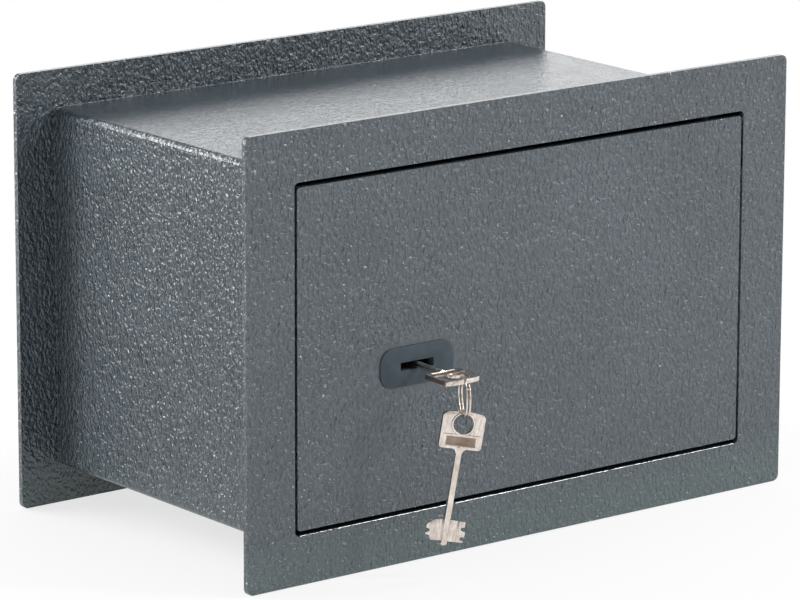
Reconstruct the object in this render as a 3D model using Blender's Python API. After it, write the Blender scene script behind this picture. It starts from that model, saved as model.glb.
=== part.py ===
"""A small key-locked wall safe, in metres, +X right, +Y into the wall, +Z up.

The origin is the centre of the back face. The safe is a bent sheet casing between
a front frame and a back plate. Its door turns on two pins, and a double-bitted key
turns a heart cam that slides two round bolts behind the frame. A spare key hangs
on a split ring from the key in the lock.
"""

import math

import bmesh
import bpy
from mathutils import Matrix, Vector

# Body: driving sizes
SAFE_WIDTH = 0.350
SAFE_HEIGHT = 0.230
SAFE_DEPTH = 0.200
FRAME_THICK = 0.003
BACK_THICK = 0.003
PLATE_CORNER = 0.0035
MARGIN_SIDE = 0.0225
MARGIN_TOP = 0.020
SHEET = 0.002
SHEET_BEND = 0.004
LIP_SIDE = 0.0048
LIP_TOP = 0.0037
OPENING_DROP = 0.0005
OPENING_CORNER = 0.0025
SEAT_GAP = 0.0003
OVERRUN = 0.002

# Door
DOOR_THICK = 0.004
DOOR_SIDE_GAP = 0.0016
DOOR_TOP_GAP = 0.0026
DOOR_CORNER = 0.0018
STOP_THICK = 0.003
STOP_HEIGHT = 0.014
STOP_REACH = 0.006
STOP_FROM_EDGE = 0.004
DOG_THICK = 0.003
DOG_WIDTH = 0.019
DOG_REACH = 0.0037
DOG_FROM_EDGE = 0.0287

# Hinge
HINGE_INSET = 0.020
HINGE_DEPTH = 0.009
PIN_RADIUS = 0.003
PIN_HEAD_RADIUS = 0.0045
PIN_HEAD_THICK = 0.0015
SPACER_WALL = 0.0013
BRACKET_THICK = 0.0025
BRACKET_HALF_WIDTH = 0.013
BRACKET_LENGTH = 0.014
LUG_THICK = 0.003
LUG_HALF_WIDTH = 0.010
LUG_LENGTH = 0.011
LUG_SINK = 0.0004

# Lock: places from the door's left edge and centre, layers behind the front face
KEY_INSET = 0.0741
KEY_DROP = 0.0128
CASE_HALF_WIDTH = 0.032
CASE_BELOW = 0.024
CASE_ABOVE = 0.036
CASE_SHEET = 0.0015
CASE_DEPTH = 0.0236
POST_SIDE = 0.005
ROTOR_RADIUS = 0.0123
ROTOR_SLOT_HEIGHT = 0.0054
CAM_FRONT = 0.0085
CAM_THICK = 0.003
PLATE_LAYER = 0.0156
LOCK_BOLT_THICK = 0.003
CAM_PITCH_RADIUS = 0.016
FOLLOWER_RADIUS = 0.002
FOLLOWER_PLAY = 0.0003
BOLT_THROW = 0.0065
NECK_HALF_HEIGHT = 0.009
YOKE_HALF_HEIGHT = 0.0165
YOKE_WALL = 0.0025
MID_PLATE_THICK = 0.0012
COVER_THICK = 0.0015
SCREW_RADIUS = 0.0013
SCREW_HEAD_RADIUS = 0.0026
SCREW_HEAD_THICK = 0.0014
SCREW_LENGTH = 0.007

# Levers
LEVER_THICK = 0.0016
LEVER_PITCH = 0.0024
LEVER_START = 0.0006
LEVER_COUNT = 3
LEVER_POST_X = 0.022
LEVER_POST_Z = 0.018
LEVER_POST_RADIUS = 0.0025
LEVER_EYE = 0.0055
LEVER_WALL = 0.0028
LEVER_LIFT = 0.0028
STUMP_X = 0.018
STUMP_Z = 0.0165
STUMP_RADIUS = 0.0018
SPRING_RADIUS = 0.0005
SPRING_WIRE = 0.00012
SPRING_TURNS = 5
SPRING_X = 0.008

# Bolts and their carriage
BOLT_RADIUS = 0.007
BOLT_LENGTH = 0.036
BOLT_TIP = 0.0012
BOLT_BACK = 0.001
BOLT_FRONT_GAP = 0.0006
BOLT_FROM_EDGE = 0.0387
CARRIAGE_THICK = 0.003
CARRIAGE_LEFT = 0.0151
CARRIAGE_WIDTH = 0.020
CARRIAGE_PAST_BOLT = 0.010
GUIDE_LEFT = 0.0031
GUIDE_THICK = 0.003
GUIDE_HALF_HEIGHT = 0.0105
GUIDE_FOOT = 0.006
GUIDE_FOOT_THICK = 0.002
M4_RADIUS = 0.002
M4_HEAD_RADIUS = 0.0036
M4_HEAD_THICK = 0.0024
M4_DEPTH = 0.007

# Cover over the works inside the door
COVER_LEFT = 0.0064
COVER_PAST_LOCK = 0.0123
COVER_PAST_BOLT = 0.018
COVER_SHEET = 0.001
COVER_DEPTH = 0.0305
COVER_CORNER = 0.003
STUD_RADIUS = 0.003
STUD_INSET = 0.006
STUD_PLAY = 0.0003

# Keyhole plate
ROSE_WIDTH = 0.0464
ROSE_HEIGHT = 0.0206
ROSE_PROUD = 0.0008
ROSE_STEM_MARGIN = 0.003
SLOT_WIDTH = 0.0208
SLOT_HEIGHT = 0.0042

# Keys
KEY_LENGTH = 0.069
KEY_DEPTH = 0.030
KEY_DROOP = math.radians(1.7)
SHANK_RADIUS = 0.00175
BOW_WIDTH = 0.0218
BOW_LENGTH = 0.0193
BOW_THICK = 0.0024
BOW_ARCH = 0.0012
BOW_CORNER = 0.0018
BOW_HOLE_RADIUS = 0.0051
BOW_STRIP = 0.0013
BOW_FILLET = 0.0022
PANEL_WIDTH = 0.014
PANEL_HEIGHT = 0.0042
PANEL_DEPTH = 0.0004
PANEL_FROM_FOOT = 0.0017
BIT_SPAN = 0.020
BIT_LENGTH = 0.011
BIT_THICK = 0.0024
BIT_FROM_TIP = 0.0023

# Split ring, with its plane turned from the key's axis
RING_RADIUS = 0.0100
RING_WIRE = 0.00055
RING_PITCH = 0.00158
RING_TURN = math.radians(26.5)
RING_PLAY = 0.0004
SPARE_PLAY = 0.0009
SPARE_LEAN = math.radians(9.2)

# Counts of segments
ROUND_SEGMENTS = 32
CORNER_SEGMENTS = 5
CAM_SEGMENTS = 72
RING_POINTS = 24
RING_CROSSING = 3
RING_START = 7
SPRING_POINTS = 10

# Bit outlines: shares of the wing's reach and of the bit's length, from the tip end
LEFT_WING_SHARES = [(0.72, 0.0), (0.80, 0.20), (1.0, 0.24), (1.0, 0.36), (0.82, 0.40),
                    (0.82, 0.50), (1.0, 0.54), (1.0, 0.72), (0.84, 0.86), (0.60, 0.97),
                    (0.36, 1.0)]
RIGHT_WING_SHARES = [(0.96, 0.0), (0.96, 0.07), (0.78, 0.10), (0.78, 0.23), (1.0, 0.28),
                     (1.0, 0.50), (0.76, 0.55), (0.76, 0.68), (0.95, 0.72), (0.95, 0.97),
                     (0.36, 1.0)]

for old in list(bpy.data.objects):
    bpy.data.objects.remove(old, do_unlink=True)


def material(name, colour, roughness, metallic):
    mat = bpy.data.materials.new(name)
    mat.use_nodes = True
    shader = mat.node_tree.nodes["Principled BSDF"]
    shader.inputs["Base Color"].default_value = (*colour, 1.0)
    shader.inputs["Roughness"].default_value = roughness
    shader.inputs["Metallic"].default_value = metallic
    return mat


PAINT = (0.135, 0.155, 0.165)
STEEL = (0.45, 0.45, 0.46)
ZINC = (0.62, 0.61, 0.57)
NICKEL = (0.78, 0.70, 0.64)
FINISHES = {
    "paint": (PAINT, 0.42, 0.15),
    "dark": ((0.045, 0.062, 0.078), 0.55, 0.0),
    "steel": (STEEL, 0.35, 1.0),
    "zinc": (ZINC, 0.38, 1.0),
    "brass": ((0.72, 0.55, 0.26), 0.32, 1.0),
    "nickel": (NICKEL, 0.24, 1.0),
}


def new_object(name, shape, finish):
    """Turn a bmesh into a linked object with a material of its own."""
    bmesh.ops.recalc_face_normals(shape, faces=shape.faces)
    mesh = bpy.data.meshes.new(name)
    shape.to_mesh(mesh)
    shape.free()
    mesh.materials.append(material(name, *FINISHES[finish]))
    obj = bpy.data.objects.new(name, mesh)
    bpy.context.collection.objects.link(obj)
    return obj


def smooth(obj):
    obj.data.shade_smooth()
    obj.data.set_sharp_from_angle(angle=math.radians(32))
    return obj


def behind(distance):
    """Y of a place this far behind the front face."""
    return -SAFE_DEPTH + distance


def arc(centre, radius, start, end, steps):
    """Points on an arc, ends included, angles in radians from +X towards +Z."""
    angles = [start + (end - start) * i / steps for i in range(steps + 1)]
    return [(centre[0] + radius * math.cos(a), centre[1] + radius * math.sin(a)) for a in angles]


def circle(centre, radius, steps=ROUND_SEGMENTS):
    return arc(centre, radius, 0.0, math.tau, steps)[:-1]


def rounded(left, right, bottom, top, radius):
    """Outline of a rectangle with round corners."""
    quarter = math.pi / 2
    corners = [(right - radius, top - radius), (left + radius, top - radius),
               (left + radius, bottom + radius), (right - radius, bottom + radius)]
    points = []
    for i, corner in enumerate(corners):
        points += arc(corner, radius, quarter * i, quarter * (i + 1), CORNER_SEGMENTS)
    return points


def rectangle(left, right, bottom, top):
    return [(left, bottom), (right, bottom), (right, top), (left, top)]


def slab(name, outline, front, back, finish="paint"):
    """An outline in X and Z, extruded between two distances behind the front face."""
    shape = bmesh.new()
    corners = [shape.verts.new((x, behind(front), z)) for x, z in outline]
    face = shape.faces.new(corners)
    made = bmesh.ops.extrude_face_region(shape, geom=[face])
    moved = [v for v in made["geom"] if isinstance(v, bmesh.types.BMVert)]
    bmesh.ops.translate(shape, verts=moved, vec=(0, back - front, 0))
    return new_object(name, shape, finish)


def turned(name, start, axis, profile, finish="steel", segments=ROUND_SEGMENTS):
    """A turned piece: its profile gives (distance along the axis, radius) in order."""
    shape = bmesh.new()
    turn = Vector((0, 0, 1)).rotation_difference(Vector(axis)).to_matrix()
    rings = []
    for along, radius in profile:
        ring = []
        for x, y in circle((0, 0), radius, segments):
            ring.append(shape.verts.new(Vector(start) + turn @ Vector((x, y, along))))
        rings.append(ring)
    shape.faces.new(rings[0])
    shape.faces.new(rings[-1])
    for low, high in zip(rings, rings[1:]):
        for i in range(segments):
            j = (i + 1) % segments
            shape.faces.new((low[i], low[j], high[j], high[i]))
    return smooth(new_object(name, shape, finish))


def rod(name, start, axis, length, radius, finish="steel", segments=ROUND_SEGMENTS):
    """A cylinder from a start point along an axis."""
    return turned(name, start, axis, [(0, radius), (length, radius)], finish, segments)


def headed(name, start, axis, length, radius, head_length, head_radius, finish="steel",
           segments=16):
    """A screw or pin: a plain shank, then a head at its far end."""
    profile = [(0, radius), (length, radius), (length, head_radius),
               (length + head_length, head_radius)]
    return turned(name, start, axis, profile, finish, segments)


def boolean(target, tool, operation):
    """Cut or join with a helper that stays out of the render."""
    tool.hide_render = True
    tool.display_type = "WIRE"
    modifier = target.modifiers.new(tool.name, "BOOLEAN")
    modifier.operation = operation
    modifier.solver = "EXACT"
    modifier.object = tool
    return target


def cut(target, *tools):
    for tool in tools:
        boolean(target, tool, "DIFFERENCE")
    return target


def join(target, *tools):
    for tool in tools:
        boolean(target, tool, "UNION")
    return target


def empty(name, place, parent=None):
    """A joint's empty, which its pieces are parented to."""
    obj = bpy.data.objects.new(name, None)
    obj.location = place
    bpy.context.collection.objects.link(obj)
    if parent:
        obj.parent = parent
        obj.matrix_parent_inverse = Matrix.Translation(parent["place"]).inverted()
    obj["place"] = list(place)
    return obj


def carry(joint, *pieces):
    """Parent pieces, and the helpers that shape them, to a joint's empty."""
    inverse = Matrix.Translation(joint["place"]).inverted()
    for piece in pieces:
        tools = [m.object for m in piece.modifiers if m.type == "BOOLEAN"]
        for obj in [piece] + [t for t in tools if t.parent is None]:
            obj.parent = joint
            obj.matrix_parent_inverse = inverse


# Shared places
CASING_HALF_WIDTH = SAFE_WIDTH / 2 - MARGIN_SIDE
CASING_HALF_HEIGHT = SAFE_HEIGHT / 2 - MARGIN_TOP
INNER_HALF_WIDTH = CASING_HALF_WIDTH - SHEET
INNER_HALF_HEIGHT = CASING_HALF_HEIGHT - SHEET
OPEN_RIGHT = INNER_HALF_WIDTH - LIP_SIDE
OPEN_TOP = INNER_HALF_HEIGHT - LIP_TOP - OPENING_DROP
OPEN_BOTTOM = -INNER_HALF_HEIGHT + LIP_TOP - OPENING_DROP
DOOR_RIGHT = OPEN_RIGHT - DOOR_SIDE_GAP
DOOR_LEFT = -DOOR_RIGHT
DOOR_TOP = OPEN_TOP - DOOR_TOP_GAP
DOOR_BOTTOM = OPEN_BOTTOM + DOOR_TOP_GAP
DOOR_MIDDLE = (DOOR_TOP + DOOR_BOTTOM) / 2
DOOR_BACK = DOOR_THICK + SEAT_GAP
KEY_X = DOOR_LEFT + KEY_INSET
KEY_Z = DOOR_MIDDLE - KEY_DROP
PIN_X = DOOR_RIGHT - HINGE_INSET


def make_body():
    """The casing, its two flange plates, and what is welded inside them."""
    half_width = SAFE_WIDTH / 2
    half_height = SAFE_HEIGHT / 2
    plate = rounded(-half_width, half_width, -half_height, half_height, PLATE_CORNER)
    opening = rounded(-OPEN_RIGHT, OPEN_RIGHT, OPEN_BOTTOM, OPEN_TOP, OPENING_CORNER)
    frame = slab("front_frame", plate, 0, FRAME_THICK)
    cut(frame, slab("opening_cut", opening, -OVERRUN, FRAME_THICK + OVERRUN))
    slab("back_plate", plate, SAFE_DEPTH - BACK_THICK, SAFE_DEPTH)

    casing_front = FRAME_THICK + SEAT_GAP
    casing_back = SAFE_DEPTH - BACK_THICK - SEAT_GAP
    outside = rounded(-CASING_HALF_WIDTH, CASING_HALF_WIDTH, -CASING_HALF_HEIGHT,
                      CASING_HALF_HEIGHT, SHEET_BEND)
    inside = rounded(-INNER_HALF_WIDTH, INNER_HALF_WIDTH, -INNER_HALF_HEIGHT,
                     INNER_HALF_HEIGHT, SHEET_BEND - SHEET)
    casing = slab("casing_shell", outside, casing_front, casing_back)
    cut(casing, slab("casing_cut", inside, casing_front - OVERRUN, casing_back + OVERRUN))
    smooth(casing)

    for end, sign in (("upper", 1), ("lower", -1)):
        wall = sign * (INNER_HALF_HEIGHT - SEAT_GAP)
        bracket_z = sorted((wall, wall - sign * BRACKET_THICK))
        bracket = slab(f"hinge_bracket_{end}",
                       rectangle(PIN_X - BRACKET_HALF_WIDTH, PIN_X + BRACKET_HALF_WIDTH,
                                 *bracket_z),
                       casing_front, casing_front + BRACKET_LENGTH)
        low = (PIN_X, behind(HINGE_DEPTH), bracket_z[0] - OVERRUN)
        cut(bracket, rod(f"bracket_bore_{end}", low, (0, 0, 1), BRACKET_THICK + 2 * OVERRUN,
                         PIN_RADIUS + SEAT_GAP))
        corner = DOOR_TOP if sign > 0 else DOOR_BOTTOM
        stop_z = sorted((corner - sign * STOP_FROM_EDGE,
                         corner - sign * (STOP_FROM_EDGE + STOP_HEIGHT)))
        slab(f"door_stop_{end}",
             rectangle(-INNER_HALF_WIDTH + SEAT_GAP, DOOR_LEFT + STOP_REACH, *stop_z),
             DOOR_BACK, DOOR_BACK + STOP_THICK)


def make_door(hinge):
    """The door plate with its hinge pins and the fixed dog on the hinge side."""
    door = slab("door_plate",
                rounded(DOOR_LEFT, DOOR_RIGHT, DOOR_BOTTOM, DOOR_TOP, DOOR_CORNER),
                0, DOOR_THICK)
    stem_half_width = SLOT_WIDTH / 2 + ROSE_STEM_MARGIN
    stem_half_height = SLOT_HEIGHT / 2 + ROSE_STEM_MARGIN
    hole = rectangle(KEY_X - stem_half_width - SEAT_GAP, KEY_X + stem_half_width + SEAT_GAP,
                     KEY_Z - stem_half_height - SEAT_GAP, KEY_Z + stem_half_height + SEAT_GAP)
    cut(door, slab("keyhole_cut", hole, -OVERRUN, DOOR_THICK + OVERRUN))

    rose_radius = ROSE_HEIGHT / 2
    rose_reach = ROSE_WIDTH / 2 - rose_radius
    outline = arc((KEY_X + rose_reach, KEY_Z), rose_radius, -math.pi / 2, math.pi / 2,
                  ROUND_SEGMENTS // 2)
    outline += arc((KEY_X - rose_reach, KEY_Z), rose_radius, math.pi / 2, 3 * math.pi / 2,
                   ROUND_SEGMENTS // 2)
    rose = slab("keyhole_plate", outline, -ROSE_PROUD - SEAT_GAP, -SEAT_GAP, "dark")
    join(rose, slab("keyhole_stem",
                    rectangle(KEY_X - stem_half_width, KEY_X + stem_half_width,
                              KEY_Z - stem_half_height, KEY_Z + stem_half_height),
                    -ROSE_PROUD, DOOR_THICK, "dark"))
    cut(rose, slab("key_slot",
                   rectangle(KEY_X - SLOT_WIDTH / 2, KEY_X + SLOT_WIDTH / 2,
                             KEY_Z - SLOT_HEIGHT / 2, KEY_Z + SLOT_HEIGHT / 2),
                   -OVERRUN, DOOR_THICK + OVERRUN, "dark"))

    dog_right = OPEN_RIGHT + DOG_REACH
    dog = slab("dog_bar",
               rectangle(dog_right - DOG_WIDTH, dog_right, DOOR_BOTTOM + DOG_FROM_EDGE,
                         DOOR_TOP - DOG_FROM_EDGE),
               DOOR_BACK, DOOR_BACK + DOG_THICK, "zinc")
    carry(hinge, door, rose, dog)

    for end, sign in (("upper", 1), ("lower", -1)):
        edge = DOOR_TOP if sign > 0 else DOOR_BOTTOM
        lug_outer = edge - sign * LUG_SINK
        lug_z = sorted((lug_outer, lug_outer - sign * LUG_THICK))
        lug = slab(f"hinge_lug_{end}",
                   rectangle(PIN_X - LUG_HALF_WIDTH, PIN_X + LUG_HALF_WIDTH, *lug_z),
                   DOOR_BACK, DOOR_BACK + LUG_LENGTH, "zinc")
        bore_start = (PIN_X, behind(HINGE_DEPTH), lug_z[0] - OVERRUN)
        cut(lug, rod(f"lug_bore_{end}", bore_start, (0, 0, 1), LUG_THICK + 2 * OVERRUN,
                     PIN_RADIUS + SEAT_GAP))
        axis = (0, 0, sign)
        wall = sign * (INNER_HALF_HEIGHT - SEAT_GAP)
        bracket_inner = wall - sign * BRACKET_THICK
        spacer_start = lug_outer + sign * SEAT_GAP
        spacer_length = abs(bracket_inner - spacer_start) - SEAT_GAP
        spacer = rod(f"hinge_spacer_{end}", (PIN_X, behind(HINGE_DEPTH), spacer_start), axis,
                     spacer_length, PIN_RADIUS + SEAT_GAP + SPACER_WALL, "zinc")
        cut(spacer, rod(f"spacer_bore_{end}",
                        (PIN_X, behind(HINGE_DEPTH), spacer_start - sign * OVERRUN), axis,
                        spacer_length + 2 * OVERRUN, PIN_RADIUS + SEAT_GAP))
        head_top = lug_outer - sign * (LUG_THICK + SEAT_GAP)
        pin = headed(f"hinge_pin_{end}", (PIN_X, behind(HINGE_DEPTH), wall), (0, 0, -sign),
                     abs(wall - head_top), PIN_RADIUS, PIN_HEAD_THICK, PIN_HEAD_RADIUS,
                     segments=ROUND_SEGMENTS)
        carry(hinge, lug, spacer, pin)


BOLT_DEPTH = DOOR_THICK + BOLT_FRONT_GAP + BOLT_RADIUS
UPPER_BOLT = DOOR_TOP - BOLT_FROM_EDGE
LOWER_BOLT = DOOR_BOTTOM + BOLT_FROM_EDGE
BOLT_CENTRES = (("upper", UPPER_BOLT), ("lower", LOWER_BOLT))


def make_bolt_guides(hinge):
    """Two brackets on the door that the round bolts slide through."""
    left = DOOR_LEFT + GUIDE_LEFT
    right = left + GUIDE_THICK
    for end, z in BOLT_CENTRES:
        guide = slab(f"bolt_guide_{end}",
                     rectangle(left, right, z - GUIDE_HALF_HEIGHT, z + GUIDE_HALF_HEIGHT),
                     DOOR_BACK, BOLT_DEPTH + GUIDE_HALF_HEIGHT, "zinc")
        cut(guide, rod(f"guide_bore_{end}", (left - OVERRUN, behind(BOLT_DEPTH), z), (1, 0, 0),
                       GUIDE_THICK + 2 * OVERRUN, BOLT_RADIUS + SEAT_GAP))
        for side, sign in (("top", 1), ("bottom", -1)):
            inner = z + sign * (GUIDE_HALF_HEIGHT - GUIDE_FOOT_THICK)
            foot_z = sorted((inner, z + sign * (GUIDE_HALF_HEIGHT + GUIDE_FOOT)))
            join(guide, slab(f"guide_foot_{side}_{end}", rectangle(left, right, *foot_z),
                             DOOR_BACK, DOOR_BACK + GUIDE_FOOT_THICK, "zinc"))
        carry(hinge, guide)


LOCK_LEFT = KEY_X - CASE_HALF_WIDTH
LOCK_RIGHT = KEY_X + CASE_HALF_WIDTH
LOCK_BOTTOM = KEY_Z - CASE_BELOW
LOCK_TOP = KEY_Z + CASE_ABOVE
CASE_BACK = DOOR_BACK + CASE_DEPTH
MID_FRONT = PLATE_LAYER + LOCK_BOLT_THICK + SEAT_GAP
MID_BACK = MID_FRONT + MID_PLATE_THICK
DROOP_REACH = KEY_DEPTH * math.tan(KEY_DROOP)
BIT_SWEEP = BIT_SPAN / 2 + DROOP_REACH + SEAT_GAP


def post_corners():
    """Centres of the four screw posts inside the lock case."""
    inset = CASE_SHEET + POST_SIDE / 2
    return [(x, z) for x in (LOCK_LEFT + inset, LOCK_RIGHT - inset)
            for z in (LOCK_BOTTOM + inset, LOCK_TOP - inset)]


def make_lock_case(hinge):
    """The lock's folded case, its middle plate, cover, screws and lever post."""
    case = slab("lock_case", rectangle(LOCK_LEFT, LOCK_RIGHT, LOCK_BOTTOM, LOCK_TOP),
                DOOR_BACK, CASE_BACK, "zinc")
    base_back = DOOR_BACK + CASE_SHEET
    cut(case, slab("case_hollow",
                   rectangle(LOCK_LEFT + CASE_SHEET, LOCK_RIGHT - CASE_SHEET,
                             LOCK_BOTTOM + CASE_SHEET, LOCK_TOP - CASE_SHEET),
                   base_back, CASE_BACK + OVERRUN))
    cut(case, rod("case_bearing", (KEY_X, behind(DOOR_THICK), KEY_Z), (0, 1, 0),
                  CASE_SHEET + 2 * OVERRUN, ROTOR_RADIUS + SEAT_GAP))
    cut(case, slab("case_window",
                   rectangle(LOCK_LEFT - OVERRUN, LOCK_LEFT + CASE_SHEET + OVERRUN,
                             KEY_Z - NECK_HALF_HEIGHT - SEAT_GAP,
                             KEY_Z + NECK_HALF_HEIGHT + SEAT_GAP),
                   PLATE_LAYER - SEAT_GAP, PLATE_LAYER + LOCK_BOLT_THICK + SEAT_GAP))
    middle = slab("lock_middle_plate",
                  rectangle(LOCK_LEFT + CASE_SHEET + SEAT_GAP,
                            LOCK_RIGHT - CASE_SHEET - SEAT_GAP,
                            LOCK_BOTTOM + CASE_SHEET + SEAT_GAP,
                            LOCK_TOP - CASE_SHEET - SEAT_GAP),
                  MID_FRONT, MID_BACK, "steel")
    cut(middle, rod("middle_bearing", (KEY_X, behind(MID_FRONT - OVERRUN), KEY_Z), (0, 1, 0),
                    MID_PLATE_THICK + 2 * OVERRUN, ROTOR_RADIUS + SEAT_GAP))
    stump_half = STUMP_RADIUS + SEAT_GAP
    cut(middle, slab("stump_slot",
                     rectangle(KEY_X - STUMP_X - BOLT_THROW - stump_half,
                               KEY_X - STUMP_X + stump_half,
                               KEY_Z + STUMP_Z - stump_half, KEY_Z + STUMP_Z + stump_half),
                     MID_FRONT - OVERRUN, MID_BACK + OVERRUN))
    cover_front = CASE_BACK + SEAT_GAP
    cover = slab("lock_cover", rectangle(LOCK_LEFT, LOCK_RIGHT, LOCK_BOTTOM, LOCK_TOP),
                 cover_front, cover_front + COVER_THICK, "zinc")
    cut(cover, rod("tip_hole", (KEY_X, behind(cover_front - OVERRUN), KEY_Z), (0, 1, 0),
                   COVER_THICK + 2 * OVERRUN, SHANK_RADIUS + DROOP_REACH + SEAT_GAP))

    half = POST_SIDE / 2
    for number, (x, z) in enumerate(post_corners(), 1):
        join(case, slab(f"case_post_{number}",
                        rectangle(x - half - CASE_SHEET / 2, x + half + CASE_SHEET / 2,
                                  z - half - CASE_SHEET / 2, z + half + CASE_SHEET / 2),
                        DOOR_BACK + CASE_SHEET / 2, CASE_BACK, "zinc"))
        cut(case, rod(f"post_bore_{number}",
                      (x, behind(CASE_BACK - SCREW_LENGTH - SEAT_GAP), z), (0, 1, 0),
                      SCREW_LENGTH + SEAT_GAP + OVERRUN, SCREW_RADIUS + SEAT_GAP, "zinc", 16))
        notch = half + CASE_SHEET / 2 + SEAT_GAP
        cut(middle, slab(f"middle_notch_{number}",
                         rectangle(x - notch, x + notch, z - notch, z + notch),
                         MID_FRONT - OVERRUN, MID_BACK + OVERRUN))
        cut(cover, rod(f"cover_hole_{number}", (x, behind(cover_front - OVERRUN), z),
                       (0, 1, 0), COVER_THICK + 2 * OVERRUN, SCREW_RADIUS + SEAT_GAP, "zinc",
                       16))
        head = cover_front + COVER_THICK + SEAT_GAP
        start = CASE_BACK - SCREW_LENGTH
        screw = headed(f"lock_screw_{number}", (x, behind(start), z), (0, 1, 0), head - start,
                       SCREW_RADIUS, SCREW_HEAD_THICK, SCREW_HEAD_RADIUS)
        carry(hinge, screw)
    post_start = MID_BACK + SEAT_GAP
    post = rod("lever_post", (KEY_X + LEVER_POST_X, behind(post_start), KEY_Z + LEVER_POST_Z),
               (0, 1, 0), CASE_BACK - post_start, LEVER_POST_RADIUS)
    carry(hinge, case, middle, cover, post)


def cam_outline():
    """The heart cam's edge: its follower's centre would move at a steady rate."""
    def pitch(angle):
        share = angle / math.pi
        rise = 1 - share if share <= 1 else share - 1
        return CAM_PITCH_RADIUS + BOLT_THROW * rise

    reach = FOLLOWER_RADIUS + FOLLOWER_PLAY
    samples = CAM_SEGMENTS * 10
    centres = [(a, pitch(a)) for a in (math.tau * i / samples for i in range(samples))]
    points = []
    for i in range(CAM_SEGMENTS):
        angle = math.tau * i / CAM_SEGMENTS
        edge = pitch(angle) - reach
        for other, far in centres:
            across = far * math.sin(other - angle)
            along = far * math.cos(other - angle)
            if abs(across) < reach and along > 0:
                edge = min(edge, along - math.sqrt(reach ** 2 - across ** 2))
        points.append((KEY_X + edge * math.cos(angle), KEY_Z + edge * math.sin(angle)))
    return points


def make_rotor(key_axis):
    """The slotted hub that the key turns, with its heart cam."""
    rotor = rod("key_rotor", (KEY_X, behind(DOOR_BACK), KEY_Z), (0, 1, 0),
                MID_BACK - DOOR_BACK, ROTOR_RADIUS, "brass", 48)
    join(rotor, slab("heart_cam", cam_outline(), CAM_FRONT, CAM_FRONT + CAM_THICK, "brass"))
    half_width = BIT_SPAN / 2 + SEAT_GAP
    cut(rotor, slab("rotor_slot",
                    rectangle(KEY_X - half_width, KEY_X + half_width,
                              KEY_Z - ROTOR_SLOT_HEIGHT / 2, KEY_Z + ROTOR_SLOT_HEIGHT / 2),
                    DOOR_BACK - OVERRUN, MID_BACK + OVERRUN, "brass"))
    carry(key_axis, rotor)


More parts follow.
